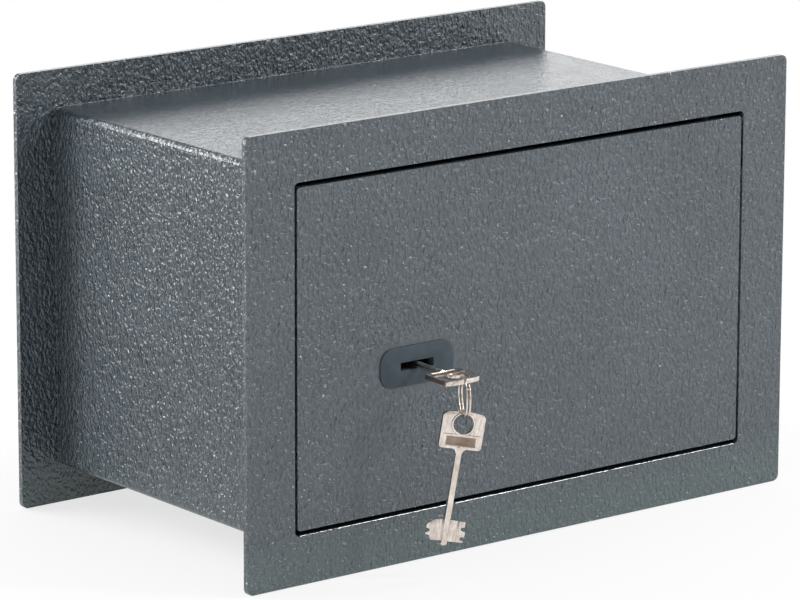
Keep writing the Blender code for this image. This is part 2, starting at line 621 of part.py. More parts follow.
def make_carriage(slide):
    """What the cam slides: the lock bolt, the carriage plate and the two round bolts."""
    carriage_left = DOOR_LEFT + CARRIAGE_LEFT
    carriage_right = carriage_left + CARRIAGE_WIDTH
    carriage_front = BOLT_DEPTH + BOLT_RADIUS + SEAT_GAP
    carriage_back = carriage_front + CARRIAGE_THICK
    plate = slab("carriage_plate",
                 rectangle(carriage_left, carriage_right, LOWER_BOLT - CARRIAGE_PAST_BOLT,
                           UPPER_BOLT + CARRIAGE_PAST_BOLT),
                 carriage_front, carriage_back, "zinc")

    left_pin = KEY_X - CAM_PITCH_RADIUS
    right_pin = KEY_X + CAM_PITCH_RADIUS + BOLT_THROW
    yoke_left = left_pin - FOLLOWER_RADIUS - YOKE_WALL
    yoke_right = right_pin + FOLLOWER_RADIUS + YOKE_WALL
    plate_back = PLATE_LAYER + LOCK_BOLT_THICK
    lock_bolt = slab("lock_bolt",
                     rectangle(yoke_left, yoke_right, KEY_Z - YOKE_HALF_HEIGHT,
                               KEY_Z + YOKE_HALF_HEIGHT), PLATE_LAYER, plate_back)
    join(lock_bolt, slab("lock_bolt_neck",
                         rectangle(carriage_left, yoke_left + OVERRUN,
                                   KEY_Z - NECK_HALF_HEIGHT, KEY_Z + NECK_HALF_HEIGHT),
                         PLATE_LAYER, plate_back))
    hub = ROTOR_RADIUS + SEAT_GAP
    hub_hole = arc((KEY_X + BOLT_THROW, KEY_Z), hub, -math.pi / 2, math.pi / 2,
                   ROUND_SEGMENTS // 2)
    hub_hole += arc((KEY_X, KEY_Z), hub, math.pi / 2, 3 * math.pi / 2, ROUND_SEGMENTS // 2)
    cut(lock_bolt, slab("hub_hole", hub_hole, PLATE_LAYER - OVERRUN, plate_back + OVERRUN))
    smooth(lock_bolt)

    pin_front = CAM_FRONT + SEAT_GAP
    pin_length = PLATE_LAYER - SEAT_GAP - pin_front
    pins = []
    for side, x in (("left", left_pin), ("right", right_pin)):
        pins.append(rod(f"cam_follower_{side}", (x, behind(pin_front), KEY_Z), (0, 1, 0),
                        pin_length, FOLLOWER_RADIUS, "steel", 20))
    stump_front = plate_back + SEAT_GAP
    stump = rod("bolt_stump", (KEY_X - STUMP_X, behind(stump_front), KEY_Z + STUMP_Z),
                (0, 1, 0), CASE_BACK - SEAT_GAP - stump_front, STUMP_RADIUS, "steel", 20)
    carry(slide, plate, lock_bolt, stump, *pins)

    bolt_left = DOOR_LEFT + BOLT_BACK
    screw_x = (carriage_left + carriage_right) / 2
    for end, z in BOLT_CENTRES:
        bolt = turned(f"bolt_{end}", (bolt_left, behind(BOLT_DEPTH), z), (1, 0, 0),
                      [(0, BOLT_RADIUS - BOLT_TIP), (BOLT_TIP, BOLT_RADIUS),
                       (BOLT_LENGTH, BOLT_RADIUS)])
        cut(bolt, rod(f"bolt_bore_{end}", (screw_x, behind(BOLT_DEPTH), z), (0, 1, 0),
                      BOLT_RADIUS + OVERRUN, M4_RADIUS + SEAT_GAP, "steel", 16))
        cut(plate, rod(f"plate_bore_{end}", (screw_x, behind(carriage_front - OVERRUN), z),
                       (0, 1, 0), CARRIAGE_THICK + 2 * OVERRUN, M4_RADIUS + SEAT_GAP, "zinc",
                       16))
        head = carriage_back + SEAT_GAP
        screw = headed(f"bolt_screw_{end}", (screw_x, behind(head - M4_DEPTH), z), (0, 1, 0),
                       M4_DEPTH, M4_RADIUS, M4_HEAD_THICK, M4_HEAD_RADIUS)
        carry(slide, bolt, screw)
    for side, sign in (("top", 1), ("bottom", -1)):
        z = KEY_Z + sign * NECK_HALF_HEIGHT / 2
        head = carriage_back + SEAT_GAP
        start = PLATE_LAYER
        cut(plate, rod(f"plate_bore_{side}", (screw_x, behind(carriage_front - OVERRUN), z),
                       (0, 1, 0), CARRIAGE_THICK + 2 * OVERRUN, SCREW_RADIUS + SEAT_GAP,
                       "zinc", 16))
        cut(lock_bolt, rod(f"neck_bore_{side}", (screw_x, behind(start - OVERRUN), z),
                           (0, 1, 0), LOCK_BOLT_THICK + 2 * OVERRUN, SCREW_RADIUS + SEAT_GAP,
                           "zinc", 16))
        screw = headed(f"carriage_screw_{side}", (screw_x, behind(start), z), (0, 1, 0),
                       head - start, SCREW_RADIUS, SCREW_HEAD_THICK, SCREW_HEAD_RADIUS)
        carry(slide, screw)
    carry(slide, plate, lock_bolt)


def spring_curve(name, place, length):
    """A small coil spring standing on a lever, as one unbroken tube."""
    curve = bpy.data.curves.new(name, "CURVE")
    curve.dimensions = "3D"
    curve.bevel_depth = SPRING_WIRE
    curve.bevel_resolution = 1
    curve.use_fill_caps = True
    line = curve.splines.new("POLY")
    count = SPRING_TURNS * SPRING_POINTS + 1
    line.points.add(count - 1)
    for i in range(count):
        angle = math.tau * i / SPRING_POINTS
        line.points[i].co = (place[0] + SPRING_RADIUS * math.cos(angle),
                             place[1] + SPRING_RADIUS * math.sin(angle),
                             place[2] + length * i / (count - 1), 1)
    curve.materials.append(material(name, *FINISHES["steel"]))
    obj = bpy.data.objects.new(name, curve)
    bpy.context.collection.objects.link(obj)
    return obj


def make_levers(pivots):
    """Spring-loaded levers on one post, each with a window for the bolt's stump."""
    post_x = KEY_X + LEVER_POST_X
    post_z = KEY_Z + LEVER_POST_Z
    belly = KEY_Z + BIT_SWEEP + SEAT_GAP
    clear = STUMP_RADIUS + SEAT_GAP
    window_right = KEY_X - STUMP_X + clear
    window_left = KEY_X - STUMP_X - BOLT_THROW - clear
    window_top = KEY_Z + STUMP_Z + clear
    window_bottom = KEY_Z + STUMP_Z - clear - LEVER_LIFT
    gate = LEVER_WALL / 2
    arm_top = window_top + gate + LEVER_WALL
    left = window_left - LEVER_WALL / 2
    outline = [(left, window_bottom - gate - LEVER_WALL / 2),
               (window_right + LEVER_WALL, window_bottom - gate - LEVER_WALL / 2),
               (window_right + 2 * LEVER_WALL, belly)]
    outline += arc((post_x, post_z), LEVER_EYE, -math.pi / 2, math.pi / 2,
                   ROUND_SEGMENTS // 2)
    outline += [(post_x - LEVER_EYE, arm_top), (left, arm_top)]
    window = [(window_left, window_bottom - gate), (window_left + clear, window_bottom - gate),
              (window_left + clear, window_bottom), (window_right - clear, window_bottom),
              (window_right - clear, window_bottom - gate), (window_right, window_bottom - gate),
              (window_right, window_top + gate), (window_right - clear, window_top + gate),
              (window_right - clear, window_top), (window_left + clear, window_top),
              (window_left + clear, window_top + gate), (window_left, window_top + gate)]
    spring_base = arm_top + SEAT_GAP + SPRING_WIRE
    spring_length = LOCK_TOP - CASE_SHEET - SEAT_GAP - SPRING_WIRE - spring_base
    for number in range(1, LEVER_COUNT + 1):
        front = MID_BACK + LEVER_START + LEVER_PITCH * (number - 1)
        lever = slab(f"lever_{number}", outline, front, front + LEVER_THICK, "brass")
        cut(lever, slab(f"lever_window_{number}", window, front - OVERRUN,
                        front + LEVER_THICK + OVERRUN))
        cut(lever, rod(f"lever_bore_{number}", (post_x, behind(front - OVERRUN), post_z),
                       (0, 1, 0), LEVER_THICK + 2 * OVERRUN, LEVER_POST_RADIUS + SEAT_GAP))
        middle = behind(front + LEVER_THICK / 2)
        spring = spring_curve(f"lever_spring_{number}",
                              (KEY_X - SPRING_X, middle, spring_base), spring_length)
        carry(pivots[number - 1], lever, spring)


def make_cover(hinge):
    """The tray that covers the works, on four studs with a screw each."""
    left = DOOR_LEFT + COVER_LEFT
    right = LOCK_RIGHT + COVER_PAST_LOCK
    bottom = LOWER_BOLT - COVER_PAST_BOLT
    top = UPPER_BOLT + COVER_PAST_BOLT
    back = DOOR_BACK + COVER_DEPTH
    inner_back = back - COVER_SHEET
    tray = slab("inner_cover", rounded(left, right, bottom, top, COVER_CORNER), DOOR_BACK,
                back)
    cut(tray, slab("cover_hollow",
                   rounded(left + COVER_SHEET, right - COVER_SHEET, bottom + COVER_SHEET,
                           top - COVER_SHEET, COVER_CORNER - COVER_SHEET),
                   DOOR_BACK - OVERRUN, inner_back))
    for end, z in BOLT_CENTRES:
        cut(tray, rod(f"cover_bolt_hole_{end}", (left - OVERRUN, behind(BOLT_DEPTH), z),
                      (1, 0, 0), COVER_SHEET + 2 * OVERRUN, BOLT_RADIUS + SEAT_GAP))
    inset = COVER_SHEET + STUD_INSET
    carriage_right = DOOR_LEFT + CARRIAGE_LEFT + CARRIAGE_WIDTH
    number = 0
    for x in (carriage_right + STUD_PLAY + STUD_RADIUS, right - inset):
        for z in (bottom + inset, top - inset):
            number += 1
            stud_back = inner_back - SEAT_GAP
            stud = rod(f"cover_stud_{number}", (x, behind(DOOR_BACK), z), (0, 1, 0),
                       stud_back - DOOR_BACK, STUD_RADIUS, "zinc", 24)
            cut(stud, rod(f"stud_bore_{number}",
                          (x, behind(stud_back - SCREW_LENGTH - SEAT_GAP), z), (0, 1, 0),
                          SCREW_LENGTH + SEAT_GAP + OVERRUN, SCREW_RADIUS + SEAT_GAP, "zinc",
                          16))
            cut(tray, rod(f"tray_bore_{number}", (x, behind(inner_back - OVERRUN), z),
                          (0, 1, 0), COVER_SHEET + 2 * OVERRUN, SCREW_RADIUS + SEAT_GAP,
                          "zinc", 16))
            head = back + SEAT_GAP
            start = stud_back - SCREW_LENGTH
            screw = headed(f"cover_screw_{number}", (x, behind(start), z), (0, 1, 0),
                           head - start, SCREW_RADIUS, SCREW_HEAD_THICK, SCREW_HEAD_RADIUS)
            carry(hinge, stud, screw)
    carry(hinge, tray)


def flat(name, outline, thick, finish="nickel"):
    """An outline in X and Z with its thickness centred on Y, for the keys."""
    middle = SAFE_DEPTH
    return slab(name, outline, middle - thick / 2, middle + thick / 2, finish)


def make_key(name, placement):
    """A double-bitted key: +Z runs from tip to bow, and the origin is the bow's hole."""
    bow_top = BOW_HOLE_RADIUS + BOW_STRIP
    bow_foot = bow_top - BOW_LENGTH
    tip = bow_top - KEY_LENGTH
    half = BOW_WIDTH / 2
    shoulder = bow_top - BOW_ARCH
    arch_radius = (half ** 2 + BOW_ARCH ** 2) / (2 * BOW_ARCH)
    arch_half = math.asin((half - BOW_CORNER) / arch_radius)
    arch_centre = (0, bow_top - arch_radius)
    outline = arc(arch_centre, arch_radius, math.pi / 2 - arch_half,
                  math.pi / 2 + arch_half, CORNER_SEGMENTS * 2)
    outline += arc((-half + BOW_CORNER, shoulder - BOW_CORNER), BOW_CORNER,
                   3 * math.pi / 4, math.pi, CORNER_SEGMENTS)
    outline += arc((-half + BOW_CORNER, bow_foot + BOW_CORNER), BOW_CORNER, math.pi,
                   3 * math.pi / 2, CORNER_SEGMENTS)
    neck = SHANK_RADIUS + BOW_FILLET
    outline += arc((-neck, bow_foot - BOW_FILLET), BOW_FILLET, math.pi / 2, 0,
                   CORNER_SEGMENTS)
    outline += arc((neck, bow_foot - BOW_FILLET), BOW_FILLET, math.pi, math.pi / 2,
                   CORNER_SEGMENTS)
    outline += arc((half - BOW_CORNER, bow_foot + BOW_CORNER), BOW_CORNER, -math.pi / 2, 0,
                   CORNER_SEGMENTS)
    outline += arc((half - BOW_CORNER, shoulder - BOW_CORNER), BOW_CORNER, 0, math.pi / 4,
                   CORNER_SEGMENTS)
    bow = flat(name, outline, BOW_THICK)

    shank = rod(f"{name}_shank", (0, 0, tip), (0, 0, 1), bow_foot - tip + BOW_CORNER,
                SHANK_RADIUS, "nickel", 20)
    reach = BIT_SPAN / 2
    bit_low = tip + BIT_FROM_TIP
    bit_outline = [(share * reach, bit_low + rise * BIT_LENGTH)
                   for share, rise in RIGHT_WING_SHARES]
    bit_outline += [(-share * reach, bit_low + rise * BIT_LENGTH)
                    for share, rise in reversed(LEFT_WING_SHARES)]
    join(bow, shank, flat(f"{name}_bit", bit_outline, BIT_THICK))
    cut(bow, rod(f"{name}_hole", (0, -BOW_THICK, 0), (0, 1, 0), 2 * BOW_THICK,
                 BOW_HOLE_RADIUS, "nickel", 40))
    panel_low = bow_foot + PANEL_FROM_FOOT
    for side, sign in (("front", -1), ("back", 1)):
        face = SAFE_DEPTH + sign * BOW_THICK / 2
        panel = sorted((face - sign * PANEL_DEPTH, face + sign * OVERRUN))
        cut(bow, slab(f"{name}_panel_{side}",
                      rectangle(-PANEL_WIDTH / 2, PANEL_WIDTH / 2, panel_low,
                                panel_low + PANEL_HEIGHT), *panel, "nickel"))
    smooth(bow)
    for modifier in bow.modifiers:
        modifier.object.parent = bow
    bow.matrix_world = placement
    return bow


def make_ring(name, centre):
    """A split ring: two loops side by side, with one short crossing between its ends."""
    along = Vector((math.sin(RING_TURN), math.cos(RING_TURN), 0))
    across = Vector((math.cos(RING_TURN), -math.sin(RING_TURN), 0))
    count = 2 * RING_POINTS - RING_CROSSING + 1
    points = []
    for i in range(count):
        angle = math.tau * (RING_START + i) / RING_POINTS
        share = (i - (RING_POINTS - RING_CROSSING)) / RING_CROSSING
        share = min(max(share, 0), 1)
        offset = RING_PITCH * (share * share * (3 - 2 * share) - 1 / 2)
        points.append(Vector(centre) + offset * across + RING_RADIUS
                      * (math.sin(angle) * along + math.cos(angle) * Vector((0, 0, 1))))
    gap = min((points[i] - points[j]).length for i in range(count) for j in range(count)
              if j - i > RING_POINTS // 2) - 2 * RING_WIRE
    print(f"{name}: least gap to itself {gap * 1000:.2f} mm")
    curve = bpy.data.curves.new(name, "CURVE")
    curve.dimensions = "3D"
    curve.bevel_depth = RING_WIRE
    curve.bevel_resolution = 1
    curve.use_fill_caps = True
    line = curve.splines.new("POLY")
    line.points.add(count - 1)
    for i, point in enumerate(points):
        line.points[i].co = (*point, 1)
    curve.materials.append(material(name, *FINISHES["nickel"]))
    obj = bpy.data.objects.new(name, curve)
    bpy.context.collection.objects.link(obj)
    return obj


door_hinge = empty("door_hinge", (PIN_X, behind(HINGE_DEPTH), DOOR_MIDDLE))
lock_place = (KEY_X, behind(0), KEY_Z)
key_axis = empty("key_axis", lock_place, door_hinge)
bolt_slide = empty("bolt_slide", (DOOR_LEFT, behind(BOLT_DEPTH), DOOR_MIDDLE), door_hinge)
lever_pivots = [empty(f"lever_pivot_{n}",
                      (KEY_X + LEVER_POST_X, behind(MID_BACK + LEVER_PITCH * n),
                       KEY_Z + LEVER_POST_Z), door_hinge)
                for n in range(1, LEVER_COUNT + 1)]

make_body()
make_door(door_hinge)
make_bolt_guides(door_hinge)
make_lock_case(door_hinge)
make_rotor(key_axis)
make_carriage(bolt_slide)
make_levers(lever_pivots)
make_cover(door_hinge)

# The key in the lock leans out and down by KEY_DROOP about the keyhole
outward = Vector((0, -math.cos(KEY_DROOP), -math.sin(KEY_DROOP)))
bow_hole = Vector(lock_place) + outward * (KEY_LENGTH - KEY_DEPTH - BOW_STRIP - BOW_HOLE_RADIUS)
key_turned = Matrix.Rotation(math.pi / 2 + KEY_DROOP, 4, "X")
key_slide = empty("key_slide", lock_place, key_axis)
key = make_key("key", Matrix.Translation(bow_hole) @ key_turned)
strip = bow_hole + outward * (BOW_HOLE_RADIUS + BOW_STRIP / 2)

# The ring hangs over the bow's end strip, and the spare key from its lowest point
ring_top = strip.z + BOW_THICK / 2 + RING_PLAY + RING_WIRE
ring_centre = Vector((strip.x, strip.y, ring_top - RING_RADIUS))
ring_pivot = empty("ring_pivot", tuple(strip), key_slide)
ring = make_ring("split_ring", ring_centre)
spare_pivot = empty("spare_pivot", tuple(ring_centre), ring_pivot)
ring_bottom = ring_centre - Vector((0, 0, RING_RADIUS))
facing = Matrix.Rotation(-RING_TURN, 4, "Z") @ Matrix.Rotation(SPARE_LEAN, 4, "Y")
hang = Matrix.Translation((0, 0, RING_WIRE + SPARE_PLAY - BOW_HOLE_RADIUS))
spare = make_key("spare_key", Matrix.Translation(ring_bottom) @ facing @ hang)


def hold(joint, piece):
    """Parent a placed piece to its joint's empty without moving it."""
    piece.parent = joint
    piece.matrix_parent_inverse = Matrix.Translation(joint["place"]).inverted()


hold(key_slide, key)
hold(ring_pivot, ring)
hold(spare_pivot, spare)
print(f"hinge pin at x {PIN_X * 1000:.2f}, y {behind(HINGE_DEPTH) * 1000:.2f} mm")
print(f"key axis at x {KEY_X * 1000:.2f}, z {KEY_Z * 1000:.2f} mm")
print("ring strip", [round(c * 1000, 2) for c in strip],
      "ring centre", [round(c * 1000, 2) for c in ring_centre])
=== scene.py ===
import math

import bmesh
import bpy
from mathutils import Matrix, Vector


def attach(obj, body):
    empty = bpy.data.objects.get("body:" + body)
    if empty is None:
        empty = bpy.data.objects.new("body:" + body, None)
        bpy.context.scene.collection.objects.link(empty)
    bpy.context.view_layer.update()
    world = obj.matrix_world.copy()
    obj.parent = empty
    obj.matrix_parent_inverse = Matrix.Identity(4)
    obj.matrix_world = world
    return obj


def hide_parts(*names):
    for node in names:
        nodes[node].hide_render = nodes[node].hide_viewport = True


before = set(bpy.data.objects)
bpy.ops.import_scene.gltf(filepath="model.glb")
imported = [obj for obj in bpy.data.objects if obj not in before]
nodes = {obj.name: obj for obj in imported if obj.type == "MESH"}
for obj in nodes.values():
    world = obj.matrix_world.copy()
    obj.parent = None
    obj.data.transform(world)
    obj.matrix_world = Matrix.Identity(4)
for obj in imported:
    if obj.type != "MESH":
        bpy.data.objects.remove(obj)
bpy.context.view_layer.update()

scene = bpy.context.scene
scene.view_settings.view_transform = "Standard"

# The places that the source gives, in metres
FLOOR = -0.115
KEY_X, KEY_Z, FRONT = -0.0700, -0.0133, -0.200
CASE_HALF_WIDTH, CASE_HALF_HEIGHT, CASE_BEND = 0.1525, 0.095, 0.004
OPEN_LEFT, OPEN_RIGHT, OPEN_BOTTOM = -0.1457, 0.1457, -0.0898
KEY_DROOP = math.radians(1.7)
KEY_PROUD = 0.039
KEY_LENGTH = 0.069
BOW_STRIP = 0.0013
HOLE = 0.0051
BOW_THICK = 0.0024
RING_RADIUS = 0.0100
WIRE = 0.00055
RING_PITCH = 0.00158
RING_TURN = math.radians(26.5)
RING_CENTRE = Vector((-0.0700, -0.238333, -0.022288))
SPARE_PLAY = 0.0009
SPARE_LEAN = math.radians(9.2)


# Camera
def aim(azimuth, elevation, roll, place, focal_px):
    """A camera that looks along an azimuth from +Y towards +X, and down by elevation."""
    a, e, r = map(math.radians, (azimuth, elevation, roll))
    forward = Vector((math.sin(a) * math.cos(e), math.cos(a) * math.cos(e), -math.sin(e)))
    right = Vector((math.cos(a), -math.sin(a), 0))
    up = right.cross(forward)
    right, up = (math.cos(r) * right + math.sin(r) * up,
                 math.cos(r) * up - math.sin(r) * right)
    data = bpy.data.cameras.new("camera")
    data.sensor_width = 36
    data.lens = focal_px * 36 / 800
    data.clip_start, data.clip_end = 0.1, 30
    obj = bpy.data.objects.new("camera", data)
    turn = Matrix((right, up, -forward)).transposed().to_4x4()
    obj.matrix_world = Matrix.Translation(place) @ turn
    scene.collection.objects.link(obj)
    scene.camera = obj


aim(38.07, 13.64, 0.155, (-1.600, -2.140, 0.619), 5119)


# Nodes and materials
class Net:
    """A short way to lay out shader nodes."""

    def __init__(self, tree):
        self.tree = tree

    def add(self, kind, inputs=(), out=0, **settings):
        made = self.tree.nodes.new(kind)
        for name, value in settings.items():
            setattr(made, name, value)
        for key, value in dict(inputs).items():
            socket = made.inputs[key]
            if isinstance(value, bpy.types.NodeSocket):
                self.tree.links.new(value, socket)
            else:
                socket.default_value = value
        return made.outputs[out]

    def math(self, operation, *values):
        return self.add("ShaderNodeMath", dict(enumerate(values)), operation=operation)

    def ramp(self, value, low, high, to_low=0.0, to_high=1.0):
        return self.add("ShaderNodeMapRange",
                        {"Value": value, "From Min": low, "From Max": high,
                         "To Min": to_low, "To Max": to_high}, clamp=True)

    def mix(self, share, a, b):
        return self.add("ShaderNodeMix", {0: share, 6: a, 7: b}, out=2, data_type="RGBA")

    def place(self, scale=(1, 1, 1)):
        at = self.add("ShaderNodeTexCoord", out=3)
        return self.add("ShaderNodeMapping", {"Vector": at, "Scale": scale})

    def noise(self, where, scale, detail=2.0, rough=0.5, distortion=0.0):
        return self.add("ShaderNodeTexNoise",
                        {"Vector": where, "Scale": scale, "Detail": detail,
                         "Roughness": rough, "Distortion": distortion})

    def cells(self, where, scale):
        return self.add("ShaderNodeTexVoronoi", {"Vector": where, "Scale": scale})

    def bump(self, height, distance, strength=1.0):
        return self.add("ShaderNodeBump",
                        {"Height": height, "Distance": distance, "Strength": strength})


def surface(name, **sockets):
    """A material with a Principled shader, its net, and its fixed sockets set."""
    mat = bpy.data.materials.new(name)
    mat.use_nodes = True
    net = Net(mat.node_tree)
    shader = mat.node_tree.nodes["Principled BSDF"]
    for socket, value in sockets.items():
        shader.inputs[socket.replace("_", " ")].default_value = value
    return mat, net, shader


def feed(net, shader, **sockets):
    for socket, value in sockets.items():
        net.tree.links.new(value, shader.inputs[socket.replace("_", " ")])


def rgb(red, green, blue):
    """An 0 to 255 screen colour as a linear one."""
    parts = [c / 255 for c in (red, green, blue)]
    return (*[p / 12.92 if p <= 0.04045 else ((p + 0.055) / 1.055) ** 2.4 for p in parts], 1)


# Greener colour for the lowest parts of the paint: a painted reflection of the floor
LOW_REFLECTION_TINT = (0.052, 0.083, 0.088, 1)
# Pale colour for specks on some beads of the paint: painted glints
GLINT_SPECK = (0.62, 0.64, 0.65, 1)


def hammered_paint(name, low, high, depth):
    """Semi-gloss structured paint: pebbled, but smoother on level faces and round the keyhole.
    Its pale specks are painted glints, and its greener tint towards the bottom is a painted
    reflection of the floor.
    """
    mat, net, shader = surface(name, Specular_IOR_Level=1.0)
    upright = net.place((1, 1, 0.72))
    wavy = net.noise(upright, 470, 2.0, 0.5, 0.6)
    pebble = net.cells(upright, 520)
    height = net.math("SUBTRACT", wavy, net.math("MULTIPLY", pebble, 0.30))
    where = net.place((1, 1, 0.8))
    patchy = net.ramp(net.noise(net.place(), 26, 2, 0.6), 0.40, 0.62, 0.45, 1.0)
    drop = net.cells(where, 330)
    pick = net.ramp(net.noise(where, 300, 0, 0.5), 0.52, 0.58)
    pick = net.math("MULTIPLY", pick, patchy)
    bead = net.math("MULTIPLY", net.ramp(drop, 0.06, 0.24, 1.0, 0.0), pick)
    height = net.math("ADD", height, net.math("MULTIPLY", bead, 0.20))
    patch = net.noise(net.place(), 14, 3, 0.6)
    tone = net.math("ADD", net.math("MULTIPLY", wavy, 0.7), net.math("MULTIPLY", patch, 0.3))
    colour = net.mix(net.ramp(tone, 0.36, 0.66), low, high)
    rise = net.add("ShaderNodeSeparateXYZ", {"Vector": net.place()}, out=2)
    # Greener towards the bottom: a painted reflection of the floor
    colour = net.mix(net.ramp(rise, -0.085, -0.105), colour, LOW_REFLECTION_TINT)
    # Pale specks on some beads: painted glints
    glint_speck = net.math("MULTIPLY", net.ramp(drop, 0.05, 0.13, 1.0, 0.0), pick)
    colour = net.mix(net.math("MULTIPLY", glint_speck, 0.6), colour, GLINT_SPECK)
    rough = net.math("ADD", 0.15, net.math("MULTIPLY", net.noise(net.place(), 60, 3), 0.12))
    facing = net.add("ShaderNodeSeparateXYZ",
                     {"Vector": net.add("ShaderNodeNewGeometry", out=1)}, out=2)
    level = net.ramp(net.math("ABSOLUTE", facing), 0.12, 0.72, 1.0, 0.22)
    centred = net.add("ShaderNodeVectorMath",
                      {0: net.place(), 1: (KEY_X, FRONT, KEY_Z)}, operation="SUBTRACT")
    spread = net.add("ShaderNodeVectorMath", {0: centred, 1: (1 / 0.027, 1 / 0.02, 1 / 0.014)},
                     operation="MULTIPLY")
    away = net.add("ShaderNodeVectorMath", {0: spread}, out=1, operation="LENGTH")
    level = net.math("MULTIPLY", level, net.ramp(away, 0.95, 1.35, 0.25, 1.0))
    feed(net, shader, Base_Color=colour, Roughness=rough,
         Normal=net.bump(height, depth, level))
    return mat


def matt_plastic(name, low, high):
    mat, net, shader = surface(name, Specular_IOR_Level=0.35)
    grain = net.noise(net.place(), 2600, 2, 0.6)
    patch = net.noise(net.place(), 140, 2, 0.5)
    colour = net.mix(net.ramp(patch, 0.3, 0.7), low, high)
    rough = net.ramp(grain, 0.3, 0.7, 0.5, 0.62)
    feed(net, shader, Base_Color=colour, Roughness=rough,
         Normal=net.bump(grain, 0.00002, 0.6))
    return mat


def metal(name, low, high, rough_low, rough_high, grain=(1, 1, 1), depth=0.00001):
    """Plated or bare metal with a fine grain, patches of tone and light wear."""
    mat, net, shader = surface(name, Metallic=1.0)
    lines = net.noise(net.place(grain), 900, 3, 0.6)
    patch = net.noise(net.place(), 110, 4, 0.65)
    tone = net.math("ADD", net.math("MULTIPLY", lines, 0.5), net.math("MULTIPLY", patch, 0.5))
    colour = net.mix(net.ramp(tone, 0.36, 0.66), low, high)
    rough = net.ramp(tone, 0.3, 0.7, rough_low, rough_high)
    feed(net, shader, Base_Color=colour, Roughness=rough, Normal=net.bump(lines, depth, 0.8))
    return mat


PAINT = hammered_paint("hammered_paint", (0.028, 0.041, 0.052, 1), (0.060, 0.083, 0.102, 1),
                       0.0020)
TRAY_PAINT = hammered_paint("cover_paint", (0.026, 0.037, 0.046, 1), (0.054, 0.072, 0.086, 1),
                            0.0008)
# Near-white metal for the strip along the opening's lower edge: a painted highlight
GLINT_STRIP_METAL = metal("painted_glint_strip", (0.55, 0.56, 0.57, 1), (0.90, 0.91, 0.92, 1), 0.12, 0.3,
                   (0.4, 1, 1))
PLASTIC = matt_plastic("keyhole_plastic", rgb(52, 64, 72), rgb(62, 74, 82))
NICKEL = metal("nickel", (0.58, 0.50, 0.44, 1), (0.92, 0.86, 0.80, 1), 0.14, 0.30,
               (1, 1, 0.25))
# Darker brown nickel for the key's recess floor, ribs, a line above the panel, a ring round the
# hole and the bow's sides: painted shade
NICKEL_SHADE = metal("nickel_painted_shade", (0.24, 0.17, 0.13, 1), (0.46, 0.37, 0.31, 1), 0.35, 0.5,
               (0.15, 1, 1), 0.00005)
ZINC = metal("zinc_plate", (0.46, 0.46, 0.44, 1), (0.70, 0.70, 0.66, 1), 0.26, 0.44,
             (0.3, 1, 1))
STEEL = metal("bright_steel", (0.38, 0.38, 0.39, 1), (0.60, 0.60, 0.61, 1), 0.20, 0.38,
              (0.2, 1, 1))
# Dark tarnished brass for the lock's works, darkened further as painted shade inside the key slot
BRASS = metal("brass", (0.16, 0.10, 0.05, 1), (0.42, 0.29, 0.13, 1), 0.26, 0.44, (1, 1, 0.3))
# Near-black metal on the hinge pins, spacers and lugs: painted shade for the dark hinge gap
HINGE_SHADE = metal("hinge_gap_shade", (0.012, 0.012, 0.013, 1), (0.030, 0.030, 0.032, 1), 0.4, 0.6)
FINISHES = {"hammered_paint": PAINT, "cover_paint": TRAY_PAINT, "dark_plastic": PLASTIC,
            "zinc_plate": ZINC, "bright_steel": STEEL, "brass": BRASS,
            "hinge_gap_shade": HINGE_SHADE, "nickel_plate": NICKEL}


# The CAD nodes keep their shape: each gets its finish, and the welded sheet soft edges
def dress(node, mat, edge):
    obj = nodes[node]
    obj.data.materials.clear()
    obj.data.materials.append(mat)
    if edge:
        bevel = obj.modifiers.new("edges", "BEVEL")
        bevel.width = edge
        bevel.segments = 2
        bevel.limit_method = "ANGLE"
        bevel.angle_limit = math.radians(50)
        bevel.harden_normals = True


FINISH_NODES = {
    "cover_paint": ("inner_cover",),
    "dark_plastic": ("keyhole_plate",),
    "nickel_plate": ("key", "split_ring", "spare_key"),
    "brass": ("key_rotor", "lever_1", "lever_2", "lever_3"),
    "bright_steel": ("lock_middle_plate", "lever_post", "cam_follower_left",
                     "cam_follower_right", "bolt_stump", "bolt_upper", "bolt_lower",
                     "lever_spring_1", "lever_spring_2", "lever_spring_3"),
    "hinge_gap_shade": ("hinge_pin_upper", "hinge_pin_lower", "hinge_spacer_upper",
                    "hinge_spacer_lower", "hinge_lug_upper", "hinge_lug_lower"),
    "hammered_paint": ("casing_shell", "front_frame", "back_plate", "hinge_bracket_upper",
                       "hinge_bracket_lower", "door_stop_upper", "door_stop_lower",
                       "door_plate"),
}
finish_of = {node: finish for finish, members in FINISH_NODES.items() for node in members}
SOFT_EDGE = 0.00045
WELDED = ("casing_shell", "front_frame", "back_plate", "door_plate")
for node in nodes:
    edge = SOFT_EDGE if node in WELDED else 0.0
    dress(node, FINISHES[finish_of.get(node, "zinc_plate")], edge)


# Shapes
SHARP = math.radians(35)
SOFTENED = math.radians(40)


def arc(centre, radius, start, end, steps):
    angles = [start + (end - start) * i / steps for i in range(steps + 1)]
    return [(centre[0] + radius * math.cos(a), centre[1] + radius * math.sin(a))
            for a in angles]


def slab(shape, outline, front, back, mat=0):
    """Add an outline in X and Z to a bmesh, extruded between two places on Y."""
    low = [shape.verts.new((x, front, z)) for x, z in outline]
    high = [shape.verts.new((x, back, z)) for x, z in outline]
    count = len(outline)
    faces = [shape.faces.new(low), shape.faces.new(high[::-1])]
    for i in range(count):
        j = (i + 1) % count
        faces.append(shape.faces.new((low[j], low[i], high[i], high[j])))
    for face in faces:
        face.material_index = mat


def box(shape, low, high, mat=0):
    slab(shape, [(low[0], low[2]), (high[0], low[2]), (high[0], high[2]), (low[0], high[2])],
         low[1], high[1], mat)


